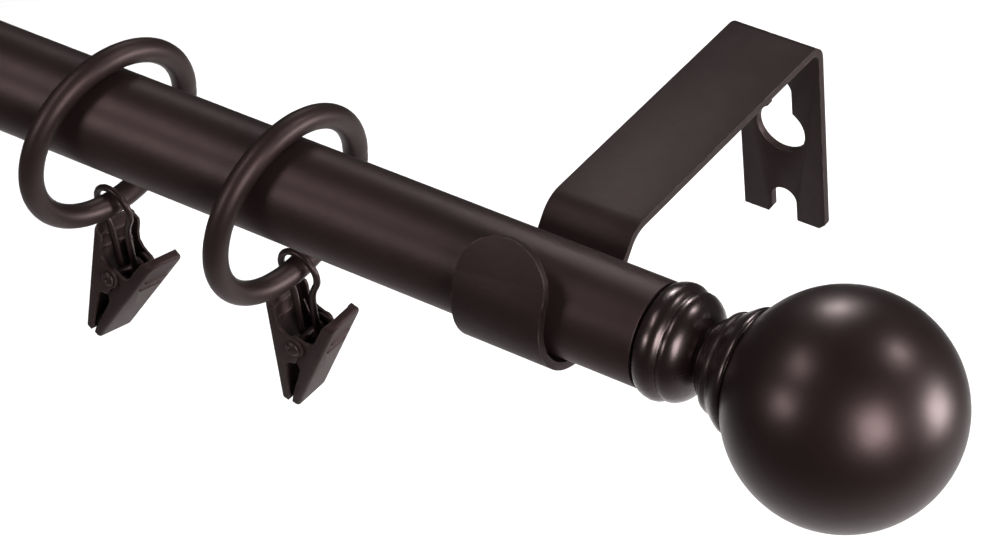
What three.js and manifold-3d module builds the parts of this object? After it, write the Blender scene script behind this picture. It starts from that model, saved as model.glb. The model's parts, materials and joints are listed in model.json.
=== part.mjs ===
import * as THREE from 'three';
import { mergeVertices } from 'three/addons/utils/BufferGeometryUtils.js';
import Module from 'manifold-3d';

// Driving dimensions, mm. X runs along the rod, the wall is the plane Y = 0, the rod axis is at Z = 0.
const FIT = 0.3;

// Rod
const ROD_HALF = 355.6;
const ROD_R = 12.7;
const ROD_WALL = 0.9;
const ROD_Y = -106.1;
const MOUTH_X = -345.6;
const INNER_R = 11.1;
const INNER_WALL = 0.8;
const INNER_END_X = 300;
const PLUG_LENGTH = 20;
const PLUG_RECESS = 1;
const STUD_R = 3;

// Finial, distances measured outwards from the tube end
const BALL_R = 27.1;
const BALL_OUT = 47.3;
const BALL_BORE = 13;

// Bracket strap, side profile measured from the rod axis (y towards the wall)
const STRAP_W = 23.7;
const STRAP_T = 2.0;
const STRAP_INSET = 44.4;
const HOOK_R = 14.6;
const HOOK_Y = -0.4;
const HOOK_Z = 1.6;
const HOOK_BACK = 42;
const TONGUE_LEAN = 29;
const TONGUE_LEN = 13.6;
const ARM_SLOPE = 3.35;
const ARM_Z = 4.73;
const ARM_Z_AT = 31;
const CREST_R = 9;
const TOP_BEND_R = 5;
const PLATE_BOTTOM = -59.3;
const KEYHOLE_R = 6.9;
const KEYHOLE_Z = -30.2;
const KEYHOLE_SLOT_R = 3.5;
const KEYHOLE_SLOT_Z = -17.5;
const NOTCH_R = 3.6;
const NOTCH_Z = -53.5;
const FOOT_CHAMFER = 1.8;

// Rings
const RING_R = 24.04;
const RING_WIRE_R = 3.09;
const RINGS = [
  { name: '1', x: 194.07, y: 1.7, z: -7.45, yaw: -12.4, pitch: 8.6, clipAt: -2.4 },
  { name: '2', x: 249.0, y: 1.6, z: -7.5, yaw: -7.0, pitch: 7.7, clipAt: 7.1 },
];

// Wire hanger
const HANGER_WIRE_R = 0.9;
const HANGER_LOOP_R = 5.7;
const HANGER_LOOP_Z = -1.35;
const HANGER_LEG_X = 2.9;
const HANGER_DROP = 22.3;
const RIVET_R = 1.2;

// How each clip hangs: the swing of its wire, then the yaw, roll and tilt of the clip on the rivet
const CLIPS = [
  { name: '1', wireYaw: -6, swing: -1.5, yaw: -11.6, roll: -11.3, tilt: 20 },
  { name: '2', wireYaw: -3.7, swing: 0, yaw: -3.7, roll: 0, tilt: 13.2 },
];

// Clip jaws, s runs up the clip from the rivet, p is the distance from the closing plane
const JAW_T = 0.7;
const JAW_OFFSET = 7.62;
const JAW_SPLAY = 13.5;
const JAW_FLANGE = 3.3;
const BACK_JAW = { half: 6.4, nose: -21.2, thumb: 11.2, corner: 2.2 };
const FRONT_JAW = { half: 5.4, nose: -22.3, thumb: 15.8, corner: 3.2 };
const BOSS_R = 2.8;
const RIB_R = 0.8;
const RIB_S = [2.5, 6.5];

const rad = (degrees) => (degrees * Math.PI) / 180;

const wasm = await Module();
wasm.setup();

function toSolid(geometry) {
  const bare = geometry.clone();
  bare.deleteAttribute('normal');
  bare.deleteAttribute('uv');
  const merged = mergeVertices(bare, 1e-4);
  const vertProperties = new Float32Array(merged.attributes.position.array);
  const triVerts = new Uint32Array(merged.index.array);
  return new wasm.Manifold(new wasm.Mesh({ numProp: 3, vertProperties, triVerts }));
}

function toGeometry(solid) {
  const mesh = solid.getMesh();
  const geometry = new THREE.BufferGeometry();
  const positions = new Float32Array((mesh.vertProperties.length / mesh.numProp) * 3);
  for (let i = 0; i < positions.length / 3; i += 1) {
    for (let k = 0; k < 3; k += 1) {
      positions[3 * i + k] = mesh.vertProperties[mesh.numProp * i + k];
    }
  }
  geometry.setAttribute('position', new THREE.BufferAttribute(positions, 3));
  geometry.setIndex(Array.from(mesh.triVerts));
  geometry.computeVertexNormals();
  return geometry;
}

// A closed outline in (u, v), pushed along the third direction w from w0 to w1.
function prism(outline, w0, w1) {
  const shape = new THREE.Shape(outline.map(([u, v]) => new THREE.Vector2(u, v)));
  const geometry = new THREE.ExtrudeGeometry(shape, { depth: w1 - w0, bevelEnabled: false });
  geometry.translate(0, 0, w0);
  return geometry;
}

// A body of revolution round X from a list of [x, radius], from axis to axis or closed on itself.
function turned(profile, segments) {
  const points = profile.map(([x, radius]) => new THREE.Vector2(radius, x));
  const geometry = new THREE.LatheGeometry(points, segments);
  geometry.rotateZ(-Math.PI / 2);
  return toGeometry(toSolid(geometry));
}

function arc(cx, cy, radius, from, to, steps) {
  const points = [];
  for (let i = 0; i <= steps; i += 1) {
    const angle = rad(from + ((to - from) * i) / steps);
    points.push([cx + radius * Math.cos(angle), cy + radius * Math.sin(angle)]);
  }
  return points;
}

// A round wire along a list of points, either an endless loop or an open wire with flat ends.
function wire(points, radius, sides, endless) {
  const count = points.length;
  const at = (i) => points[(i + count) % count];
  const tangents = points.map((point, i) => {
    const before = endless ? at(i - 1) : points[Math.max(i - 1, 0)];
    const after = endless ? at(i + 1) : points[Math.min(i + 1, count - 1)];
    return after.clone().sub(before).normalize();
  });
  const start = Math.abs(tangents[0].y) < 0.9 ? new THREE.Vector3(0, 1, 0) : new THREE.Vector3(1, 0, 0);
  let normal = start.sub(tangents[0].clone().multiplyScalar(start.dot(tangents[0]))).normalize();
  const vertices = [];
  points.forEach((point, i) => {
    normal = normal.clone().sub(tangents[i].clone().multiplyScalar(normal.dot(tangents[i]))).normalize();
    const binormal = tangents[i].clone().cross(normal);
    for (let k = 0; k < sides; k += 1) {
      const angle = (2 * Math.PI * k) / sides;
      const offset = normal.clone().multiplyScalar(Math.cos(angle) * radius);
      offset.add(binormal.clone().multiplyScalar(Math.sin(angle) * radius));
      const vertex = point.clone().add(offset);
      vertices.push(vertex.x, vertex.y, vertex.z);
    }
  });
  const faces = [];
  const spans = endless ? count : count - 1;
  for (let i = 0; i < spans; i += 1) {
    const next = (i + 1) % count;
    for (let k = 0; k < sides; k += 1) {
      const side = (k + 1) % sides;
      const corner = i * sides + k;
      faces.push(corner, i * sides + side, next * sides + side);
      faces.push(corner, next * sides + side, next * sides + k);
    }
  }
  if (!endless) {
    for (let k = 1; k < sides - 1; k += 1) {
      const last = (count - 1) * sides;
      faces.push(0, k + 1, k);
      faces.push(last, last + k, last + k + 1);
    }
  }
  const geometry = new THREE.BufferGeometry();
  geometry.setAttribute('position', new THREE.Float32BufferAttribute(vertices, 3));
  geometry.setIndex(faces);
  geometry.computeVertexNormals();
  return geometry;
}

const group = new THREE.Group();
group.name = 'curtain_rod_with_brackets';

const bronze = { color: 0x3a2c2b, roughness: 0.5, metalness: 0.55 };
const glossBronze = { color: 0x352726, roughness: 0.34, metalness: 0.55 };
const wireBronze = { color: 0x33282a, roughness: 0.42, metalness: 0.6 };
const zinc = { color: 0x8b8a86, roughness: 0.4, metalness: 0.9 };
const nylon = { color: 0x1d1b1b, roughness: 0.65, metalness: 0.0 };

function add(name, geometry, finish) {
  const mesh = new THREE.Mesh(geometry, new THREE.MeshStandardMaterial(finish));
  mesh.name = name;
  group.add(mesh);
}

function tube(x0, x1, outer, wall) {
  const inner = outer - wall;
  const edge = wall / 3;
  return turned([
    [x0, inner + edge],
    [x0, outer - edge],
    [x0 + edge, outer],
    [x1 - edge, outer],
    [x1, outer - edge],
    [x1, inner + edge],
    [x1 - edge, inner],
    [x0 + edge, inner],
    [x0, inner + edge],
  ], 32);
}

function onRod(geometry) {
  geometry.translate(0, ROD_Y, 0);
  return geometry;
}

// Mirror a finished piece across X = 0 and put its faces back the right way out.
function mirrored(geometry) {
  const copy = geometry.clone();
  copy.scale(-1, 1, 1);
  const index = Array.from(copy.index.array);
  for (let i = 0; i < index.length; i += 3) {
    [index[i], index[i + 1]] = [index[i + 1], index[i]];
  }
  copy.setIndex(index);
  copy.computeVertexNormals();
  return copy;
}

add('outer_tube', onRod(tube(MOUTH_X, ROD_HALF, ROD_R, ROD_WALL)), bronze);
add('inner_tube', onRod(tube(-ROD_HALF, INNER_END_X, INNER_R, INNER_WALL)), bronze);

// Glide plug: a shank inside the inner tube and a lip that centres it in the outer tube.
const glideLip = ROD_R - ROD_WALL - FIT;
const glideShank = INNER_R - INNER_WALL - FIT;
add('glide_plug', onRod(turned([
  [INNER_END_X - 12, 0],
  [INNER_END_X - 12, glideShank],
  [INNER_END_X + FIT, glideShank],
  [INNER_END_X + FIT, glideLip - 0.4],
  [INNER_END_X + FIT + 0.5, glideLip],
  [INNER_END_X + 3, glideLip],
  [INNER_END_X + 3.5, glideLip - 0.5],
  [INNER_END_X + 3.5, 0],
], 28)), nylon);

// Threaded end plug inside each tube end.
function endPlug(radius) {
  const x1 = ROD_HALF - PLUG_RECESS;
  const x0 = x1 - PLUG_LENGTH;
  const bore = STUD_R + FIT;
  return turned([
    [x0, bore],
    [x0, radius - 0.8],
    [x0 + 0.8, radius],
    [x1, radius],
    [x1, bore],
    [x0, bore],
  ], 28);
}
add('end_plug_right', onRod(endPlug(ROD_R - ROD_WALL - FIT)), nylon);
add('end_plug_left', onRod(mirrored(endPlug(INNER_R - INNER_WALL - FIT))), nylon);

// Finial: turned neck, ball and the stud that holds them on the rod.
function finialNeck() {
  const bore = STUD_R + FIT;
  const seatR = BALL_R + FIT;
  const seatX = (radius) => BALL_OUT - Math.sqrt(seatR * seatR - radius * radius);
  const outside = [
    [FIT, bore],
    [FIT, 12.0],
    [0.9, 12.9],
    [2.3, 13.6],
    [4.0, 13.9],
    [5.5, 13.6],
    [6.3, 12.8],
    [6.8, 12.7],
    [7.6, 13.0],
    [8.9, 12.7],
    [10.5, 11.6],
    [11.9, 10.1],
    [12.7, 8.4],
    [13.0, 7.5],
    [13.8, 7.6],
    [14.5, 9.0],
    [15.6, 10.0],
    [16.5, 10.3],
    [17.1, 11.6],
    [18.7, 12.3],
    [19.5, 12.4],
    [21.2, 13.8],
    [22.9, 15.0],
    [seatX(15.0) - 0.3, 15.0],
  ];
  const seat = [15.0, 12, 8.5, bore].map((radius) => [seatX(radius), radius]);
  return turned([...outside, ...seat, outside[0]].map(([x, radius]) => [ROD_HALF + x, radius]), 30);
}

function finialBall() {
  const bore = STUD_R + FIT;
  const mouth = Math.asin(bore / BALL_R);
  const points = [[BALL_OUT - BALL_R + BALL_BORE, 0], [BALL_OUT - BALL_R + BALL_BORE, bore]];
  const quarter = 9;
  for (let i = 0; i < 2 * quarter; i += 1) {
    const past = (Math.PI * i) / (2 * quarter);
    const angle = i < quarter ? mouth + (past * (Math.PI - 2 * mouth)) / Math.PI : past;
    points.push([BALL_OUT - BALL_R * Math.cos(angle), BALL_R * Math.sin(angle)]);
  }
  points.push([BALL_OUT + BALL_R, 0]);
  return turned(points.map(([x, radius]) => [ROD_HALF + x, radius]), 32);
}

function finialStud() {
  const x0 = ROD_HALF - 16;
  const x1 = ROD_HALF + BALL_OUT - BALL_R + BALL_BORE - 1;
  return turned([
    [x0, 0],
    [x0, STUD_R - 0.6],
    [x0 + 0.6, STUD_R],
    [x1 - 0.6, STUD_R],
    [x1, STUD_R - 0.6],
    [x1, 0],
  ], 16);
}

const finialParts = [
  ['finial_neck', onRod(finialNeck()), glossBronze],
  ['finial_ball', onRod(finialBall()), glossBronze],
  ['finial_stud', onRod(finialStud()), zinc],
];
for (const [name, geometry, finish] of finialParts) {
  add(`${name}_right`, geometry, finish);
  add(`${name}_left`, mirrored(geometry), finish);
}

// Bracket: one bent strap. The centre line is described by its upper/inner face, then thickened.
function strapFaces() {
  const slope = rad(ARM_SLOPE);
  const armZ = (y) => ARM_Z - Math.tan(slope) * (y - ARM_Z_AT);
  const rise = 90 - HOOK_BACK;
  const hookStart = [HOOK_Y + HOOK_R * Math.cos(rad(HOOK_BACK)), HOOK_Z - HOOK_R * Math.sin(rad(HOOK_BACK))];
  const climb = [Math.sin(rad(HOOK_BACK)), Math.cos(rad(HOOK_BACK))];
  const toCentre = [Math.sin(rad(rise)) * CREST_R, -Math.cos(rad(rise)) * CREST_R];
  const toCrest = [toCentre[0] + Math.sin(slope) * CREST_R, toCentre[1] + Math.cos(slope) * CREST_R];
  const climbFor = (length) => [hookStart[0] + climb[0] * length, hookStart[1] + climb[1] * length];
  let low = 0;
  let high = 40;
  for (let i = 0; i < 40; i += 1) {
    const middle = (low + high) / 2;
    const [y, z] = climbFor(middle);
    if (z + toCrest[1] > armZ(y + toCrest[0])) {
      high = middle;
    } else {
      low = middle;
    }
  }
  const crestStart = climbFor(low);
  const crest = [crestStart[0] + toCentre[0], crestStart[1] + toCentre[1]];
  const bendY = -ROD_Y - TOP_BEND_R;
  const bendZ = armZ(bendY) - TOP_BEND_R / Math.cos(slope);
  const lean = [Math.sin(rad(TONGUE_LEAN)), Math.cos(rad(TONGUE_LEAN))];
  const face = (depth) => {
    const front = [-Math.cos(rad(TONGUE_LEAN)), Math.sin(rad(TONGUE_LEAN))];
    const root = [HOOK_Y + front[0] * (HOOK_R + depth), HOOK_Z + front[1] * (HOOK_R + depth)];
    const tip = [root[0] + lean[0] * TONGUE_LEN, root[1] + lean[1] * TONGUE_LEN];
    return [
      tip,
      ...arc(HOOK_Y, HOOK_Z, HOOK_R + depth, 180 - TONGUE_LEAN, 360 - HOOK_BACK, 22),
      ...arc(crest[0], crest[1], CREST_R - depth, 90 + rise, 90 - ARM_SLOPE, 9),
      ...arc(bendY, bendZ, TOP_BEND_R - depth, 90 - ARM_SLOPE, 0, 7),
      [bendY + TOP_BEND_R - depth, PLATE_BOTTOM],
    ];
  };
  return [...face(0), ...face(STRAP_T).reverse()];
}

function bracket() {
  const half = STRAP_W / 2;
  const upright = new THREE.Matrix4().set(0, 0, 1, 0, 1, 0, 0, 0, 0, 1, 0, 0, 0, 0, 0, 1);
  const strap = toSolid(prism(strapFaces(), -half, half).applyMatrix4(upright));

  // Everything past the tongue's round end is cut away with a block that has a round bay in it.
  const bay = [
    ...arc(0, TONGUE_LEN - half, half, 0, 180, 18),
    [-half - 2, TONGUE_LEN - half],
    [-half - 2, TONGUE_LEN + 2],
    [half + 2, TONGUE_LEN + 2],
    [half + 2, TONGUE_LEN - half],
  ];
  const endCut = prism(bay, -3, 3);
  endCut.rotateX(rad(90));
  endCut.rotateX(rad(-TONGUE_LEAN));
  const middle = HOOK_R + STRAP_T / 2;
  endCut.translate(
    0,
    HOOK_Y - Math.cos(rad(TONGUE_LEAN)) * middle,
    HOOK_Z + Math.sin(rad(TONGUE_LEAN)) * middle,
  );

  const shoulder = KEYHOLE_Z + Math.sqrt(KEYHOLE_R ** 2 - KEYHOLE_SLOT_R ** 2);
  const shoulderAngle = (Math.atan2(shoulder - KEYHOLE_Z, KEYHOLE_SLOT_R) * 180) / Math.PI;
  const keyhole = [
    ...arc(0, KEYHOLE_Z, KEYHOLE_R, 180 - shoulderAngle, 360 + shoulderAngle, 26),
    ...arc(0, KEYHOLE_SLOT_Z, KEYHOLE_SLOT_R, 0, 180, 12),
  ];
  const notch = [
    ...arc(0, NOTCH_Z, NOTCH_R, 0, 180, 12),
    [-NOTCH_R, PLATE_BOTTOM + FOOT_CHAMFER],
    [-NOTCH_R - FOOT_CHAMFER, PLATE_BOTTOM - 1],
    [NOTCH_R + FOOT_CHAMFER - 1.4, PLATE_BOTTOM - 1],
    [NOTCH_R, PLATE_BOTTOM + 0.4],
  ];
  const corner = [
    [half + 1, PLATE_BOTTOM + FOOT_CHAMFER + 1],
    [half + 1, PLATE_BOTTOM - 1],
    [half - FOOT_CHAMFER - 1, PLATE_BOTTOM - 1],
  ];
  const throughPlate = (outline) => {
    const cutter = prism(outline, -4, 4);
    cutter.rotateX(rad(90));
    cutter.translate(0, -ROD_Y, 0);
    return toSolid(cutter);
  };
  const solid = strap
    .subtract(toSolid(endCut))
    .subtract(throughPlate(keyhole))
    .subtract(throughPlate(notch))
    .subtract(throughPlate(corner));
  return toGeometry(solid);
}

const bracketX = ROD_HALF - STRAP_INSET + STRAP_W / 2;
for (const [side, sign] of [['right', 1], ['left', -1]]) {
  const geometry = onRod(bracket());
  geometry.translate(sign * bracketX, 0, 0);
  add(`bracket_${side}`, geometry, bronze);
}

// Wire hanger in its own frame: origin on the ring wire's centre, Z up.
function hangerWire() {
  const centre = HANGER_LOOP_Z;
  const bottom = -HANGER_DROP - RIVET_R - FIT - HANGER_WIRE_R;
  const turn = bottom + HANGER_LEG_X;
  const right = [
    ...arc(0, centre, HANGER_LOOP_R, 90, -38, 11),
    [3.35, -7.3],
    [HANGER_LEG_X + 0.05, -10.2],
    [HANGER_LEG_X, -14],
    [HANGER_LEG_X, -18],
    ...arc(0, turn, HANGER_LEG_X, 0, -90, 6),
  ];
  const left = right.slice(1, -1).reverse().map(([x, z]) => [-x, z]);
  return wire([...right, ...left].map(([x, z]) => new THREE.Vector3(x, 0, z)), HANGER_WIRE_R, 8, true);
}

// Torsion spring round the rivet, one leg behind each thumb plate. Rivet frame: Y along the rivet.
function torsionSpring() {
  const coilR = 2.1;
  const wireR = 0.4;
  const turns = 1.336;
  const steps = 28;
  const y0 = 2.4;
  const pitch = 0.9;
  const startAngle = -29.6;
  const coil = [];
  for (let i = 0; i <= steps; i += 1) {
    const done = (turns * i) / steps;
    const angle = rad(startAngle) - 2 * Math.PI * done;
    coil.push(new THREE.Vector3(coilR * Math.cos(angle), y0 + pitch * done, coilR * Math.sin(angle)));
  }
  const inLeg = new THREE.Vector3(5.6, y0, 5.6);
  const outLeg = new THREE.Vector3(-5.6, y0 + pitch * turns, 5.6);
  return wire([inLeg, ...coil, outLeg], wireR, 6, false);
}

function rivet() {
  const shank = BACK_JAW.half + FIT;
  const geometry = turned([
    [-shank - 0.8, 0],
    [-shank - 0.8, 1.2],
    [-shank - 0.35, 2.0],
    [-shank, 2.1],
    [-shank, RIVET_R],
    [shank, RIVET_R],
    [shank, 2.1],
    [shank + 0.35, 2.0],
    [shank + 0.8, 1.2],
    [shank + 0.8, 0],
  ], 16);
  geometry.rotateZ(Math.PI / 2);
  return geometry;
}

// Jaw: a folded channel with a narrow flange along the thumb. Clip frame: X = p, Z = s.
function jaw({ half, nose, thumb, corner }) {
  const splay = Math.tan(rad(JAW_SPLAY));
  const outer = (s) => JAW_OFFSET + splay * s;
  const cheek = [
    [0.25, nose],
    [outer(nose), nose],
    [outer(thumb), thumb],
    [outer(thumb) - 2.4, thumb],
    [outer(thumb - 3) - JAW_FLANGE, thumb - 3],
    [outer(5.6) - JAW_FLANGE, 5.6],
    [4.6, 3.7],
    [2.6, 2.9],
    ...arc(0, 0, BOSS_R, 80, 240, 12),
    [-0.9, -5.4],
    [0.9, -6.4],
    [1.9, -8],
    [1.3, -13],
    [0.5, -18],
    [0.25, nose + 1.5],
  ];
  const inside = [
    [-30, nose + JAW_T],
    [outer(nose + JAW_T) - JAW_T, nose + JAW_T],
    [outer(thumb + 4) - JAW_T, thumb + 4],
    [-30, thumb + 4],
  ];
  const place = (outline, y0, y1) => {
    const geometry = prism(outline, -y1, -y0);
    geometry.rotateX(rad(90));
    return toSolid(geometry);
  };
  const rounded = [
    ...arc(half - corner, thumb - corner, corner, 0, 90, 5),
    ...arc(corner - half, thumb - corner, corner, 90, 180, 5),
    [-half, nose - 1],
    [half, nose - 1],
  ];
  const blank = prism(rounded, -40, 40);
  blank.rotateX(rad(90));
  blank.rotateZ(rad(90));
  let body = place(cheek, -half, half).intersect(toSolid(blank));
  body = body.subtract(place(inside, -half + JAW_T, half - JAW_T));
  for (const s of RIB_S) {
    const rib = new THREE.CylinderGeometry(RIB_R, RIB_R, 2 * half - 3.6, 8);
    rib.translate(outer(s) - 0.35, 0, s);
    body = body.add(toSolid(rib));
  }
  const hole = new THREE.CylinderGeometry(RIVET_R + FIT, RIVET_R + FIT, 4 * half, 14);
  return toGeometry(body.subtract(toSolid(hole)));
}

RINGS.forEach((ring, i) => {
  const clip = CLIPS[i];
  const turnRing = new THREE.Matrix4().makeRotationZ(rad(ring.yaw));
  turnRing.multiply(new THREE.Matrix4().makeRotationY(rad(ring.pitch)));
  const placeRing = new THREE.Matrix4().makeTranslation(ring.x, ROD_Y + ring.y, ring.z).multiply(turnRing);
  const torus = new THREE.TorusGeometry(RING_R, RING_WIRE_R, 12, 44);
  torus.rotateY(Math.PI / 2);
  add(`ring_${ring.name}`, toGeometry(toSolid(torus.applyMatrix4(placeRing))), bronze);

  const along = rad(ring.clipAt);
  const hangPoint = new THREE.Vector3(0, RING_R * Math.sin(along), -RING_R * Math.cos(along));
  hangPoint.applyMatrix4(placeRing);
  const placeWire = new THREE.Matrix4().makeTranslation(hangPoint.x, hangPoint.y, hangPoint.z);
  placeWire.multiply(new THREE.Matrix4().makeRotationZ(rad(clip.wireYaw)));
  placeWire.multiply(new THREE.Matrix4().makeRotationY(rad(clip.swing)));
  add(`hanger_${clip.name}`, hangerWire().applyMatrix4(placeWire), wireBronze);

  const pivot = new THREE.Vector3(0, 0, -HANGER_DROP).applyMatrix4(placeWire);
  const place = new THREE.Matrix4().makeTranslation(pivot.x, pivot.y, pivot.z);
  place.multiply(new THREE.Matrix4().makeRotationZ(rad(clip.yaw)));
  place.multiply(new THREE.Matrix4().makeRotationX(rad(clip.roll)));
  place.multiply(new THREE.Matrix4().makeRotationY(rad(clip.tilt)));
  add(`clip_back_jaw_${clip.name}`, mirrored(jaw(BACK_JAW)).applyMatrix4(place), bronze);
  add(`clip_front_jaw_${clip.name}`, jaw(FRONT_JAW).applyMatrix4(place), bronze);
  add(`clip_rivet_${clip.name}`, rivet().applyMatrix4(place), bronze);
  add(`clip_spring_${clip.name}`, torsionSpring().applyMatrix4(place), wireBronze);
});

export default group;
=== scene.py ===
import json
import math
import bmesh
import bpy
from mathutils import Matrix, Vector


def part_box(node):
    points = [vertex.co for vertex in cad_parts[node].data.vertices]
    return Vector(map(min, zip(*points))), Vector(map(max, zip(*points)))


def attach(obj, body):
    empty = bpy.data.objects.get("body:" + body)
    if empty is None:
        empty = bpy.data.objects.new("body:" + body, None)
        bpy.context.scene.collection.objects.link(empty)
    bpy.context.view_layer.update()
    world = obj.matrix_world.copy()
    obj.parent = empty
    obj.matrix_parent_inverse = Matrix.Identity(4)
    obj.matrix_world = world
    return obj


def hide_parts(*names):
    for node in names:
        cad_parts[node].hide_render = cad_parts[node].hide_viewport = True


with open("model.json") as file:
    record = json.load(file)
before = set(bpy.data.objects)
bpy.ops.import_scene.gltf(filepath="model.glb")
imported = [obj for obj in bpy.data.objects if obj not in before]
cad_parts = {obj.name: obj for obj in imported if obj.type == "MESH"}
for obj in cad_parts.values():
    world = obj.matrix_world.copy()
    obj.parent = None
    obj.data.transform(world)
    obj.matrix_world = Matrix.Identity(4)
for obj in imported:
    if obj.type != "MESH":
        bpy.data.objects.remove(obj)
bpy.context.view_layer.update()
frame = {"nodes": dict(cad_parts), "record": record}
mm = 0.001
joints = {joint["name"]: joint for joint in frame["record"]["behaviour"]["joints"]}
rodY = joints["right_finial_turn"]["pos_m"][1]
rodEnd = joints["right_finial_turn"]["pos_m"][0]
print("frame loaded:", len(frame["nodes"]), "nodes")

# Camera, looking down along the rod from beyond its right end. Turn, rise and roll are in degrees.
camera = {
    "place": (0.68548, -0.56514, 0.53249),
    "turn": 39.21,
    "rise": 42.09,
    "roll": -7.028,
    "lens": 127.31,
    "sensor": 36,
    "nearest": 0.05,
}


def addCamera():
    turn, rise, roll = (math.radians(camera[key]) for key in ("turn", "rise", "roll"))
    right = Vector((math.cos(turn), math.sin(turn), 0))
    up = Vector((-math.sin(turn) * math.sin(rise), math.cos(turn) * math.sin(rise), math.cos(rise)))
    back = right.cross(up)
    rolledRight = right * math.cos(roll) + up * math.sin(roll)
    rolledUp = up * math.cos(roll) - right * math.sin(roll)
    data = bpy.data.cameras.new("camera")
    data.lens = camera["lens"]
    data.sensor_width = camera["sensor"]
    data.clip_start = camera["nearest"]
    thing = bpy.data.objects.new("camera", data)
    bpy.context.scene.collection.objects.link(thing)
    axes = Matrix((rolledRight, rolledUp, back)).transposed().to_4x4()
    thing.matrix_world = Matrix.Translation(camera["place"]) @ axes
    bpy.context.scene.camera = thing


addCamera()

# Studio: pale floor far below, soft lamps all round
studio = {
    "floorDrop": 0.75,
    "floorSize": 14,
    "floorShade": 0.9,
    "floorRoughness": 0.9,
    "airShade": (1.0, 0.97, 0.97),
    "airPower": 0.065,
    # name, place, aim, size, spread in degrees, power, shade
    "lamps": [
        ("keyLamp", (1.60, -0.79, 0.57), (0.40, -0.1, 0.0), (0.65, 0.8), 90, 5.5, (1.0, 0.95, 0.95)),
        ("rimLamp", (1.76, 0.74, -0.08), (0.40, -0.1, 0.0), (0.6, 0.62), 120, 11, (1.0, 0.98, 0.98)),
        ("sparkLamp", (1.11, 0.87, 1.06), (0.40, -0.1, 0.0), (0.3, 0.3), 60, 0.7, (1.0, 0.96, 0.96)),
        ("wallLamp", (-0.38, 1.18, 0.78), (0.36, -0.1, 0.0), (0.6, 0.22), 180, 2.3, (1.0, 0.95, 0.95)),
        ("ballLamp", (0.165, 0.250, 0.265), (0.403, -0.106, 0.0), (0.13, 0.07), 12, 0.009, (1.0, 0.96, 0.96)),
        ("fillLamp", (-0.41, -1.17, 0.68), (0.30, -0.1, 0.0), (0.42, 0.3), 60, 0.58, (1.0, 0.94, 0.94)),
        ("bandLamp", (-0.56, -0.52, 1.42), (0.20, -0.1, 0.0), (0.7, 0.3), 45, 0.45, (1.0, 0.92, 0.92)),
        ("floorLamp", (-0.26, 0.95, 0.45), (-0.21, 0.54, -0.75), (0.9, 0.7), 75, 4.6, (1.0, 1.0, 1.0)),
    ],
}


def newMaterial(name):
    material = bpy.data.materials.new(name)
    material.use_nodes = True
    tree = material.node_tree
    shader = tree.nodes["Principled BSDF"]
    return material, tree, shader


def layFloor():
    bpy.ops.object.select_all(action="DESELECT")
    bpy.ops.mesh.primitive_plane_add(size=studio["floorSize"], location=(0, 0, -studio["floorDrop"]))
    floor = bpy.context.object
    floor.name = "floor"
    material, _, shader = newMaterial("paleFloor")
    shade = studio["floorShade"]
    shader.inputs["Base Color"].default_value = (shade, shade, shade, 1)
    shader.inputs["Roughness"].default_value = studio["floorRoughness"]
    floor.data.materials.append(material)


def fillAir():
    world = bpy.data.worlds.new("studioAir")
    world.use_nodes = True
    air = world.node_tree.nodes["Background"]
    air.inputs["Color"].default_value = (*studio["airShade"], 1)
    air.inputs["Strength"].default_value = studio["airPower"]
    bpy.context.scene.world = world


def hangLamps():
    for name, place, aim, size, spread, power, shade in studio["lamps"]:
        lamp = bpy.data.lights.new(name, "AREA")
        lamp.shape = "RECTANGLE"
        lamp.size, lamp.size_y = size
        lamp.spread = math.radians(spread)
        lamp.energy = power
        lamp.color = shade
        thing = bpy.data.objects.new(name, lamp)
        bpy.context.scene.collection.objects.link(thing)
        thing.location = place
        thing.rotation_euler = (Vector(aim) - Vector(place)).to_track_quat("-Z", "Y").to_euler()


layFloor()
fillAir()
hangLamps()
bpy.context.scene.view_settings.view_transform = "Standard"
print("camera and studio ready")


# Finishes. Every pattern is laid on Object coordinates, so it stays put on the piece.
black = (0, 0, 0, 1)
white = (1, 1, 1, 1)


def addNode(tree, kind, **values):
    node = tree.nodes.new(kind)
    for key, value in values.items():
        if key in node.inputs:
            node.inputs[key].default_value = value
        else:
            setattr(node, key, value)
    return node


def noise(tree, place, scale, detail=3.0, roughness=0.55):
    node = addNode(tree, "ShaderNodeTexNoise", Scale=scale, Detail=detail, Roughness=roughness)
    tree.links.new(place, node.inputs["Vector"])
    return node.outputs["Fac"]


def grey(level):
    return (level, level, level, 1)


def ramp(tree, value, low, high, first=black, last=white):
    node = addNode(tree, "ShaderNodeValToRGB")
    node.color_ramp.elements[0].position = low
    node.color_ramp.elements[0].color = first
    node.color_ramp.elements[1].position = high
    node.color_ramp.elements[1].color = last
    tree.links.new(value, node.inputs["Fac"])
    return node.outputs["Color"]


def blendShades(tree, amount, first, second, mode="MIX"):
    node = addNode(tree, "ShaderNodeMix", data_type="RGBA", blend_type=mode)
    tree.links.new(amount, node.inputs["Factor"])
    for socket, value in ((node.inputs[6], first), (node.inputs[7], second)):
        if isinstance(value, tuple):
            socket.default_value = value
        else:
            tree.links.new(value, socket)
    return node.outputs[2]


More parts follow.
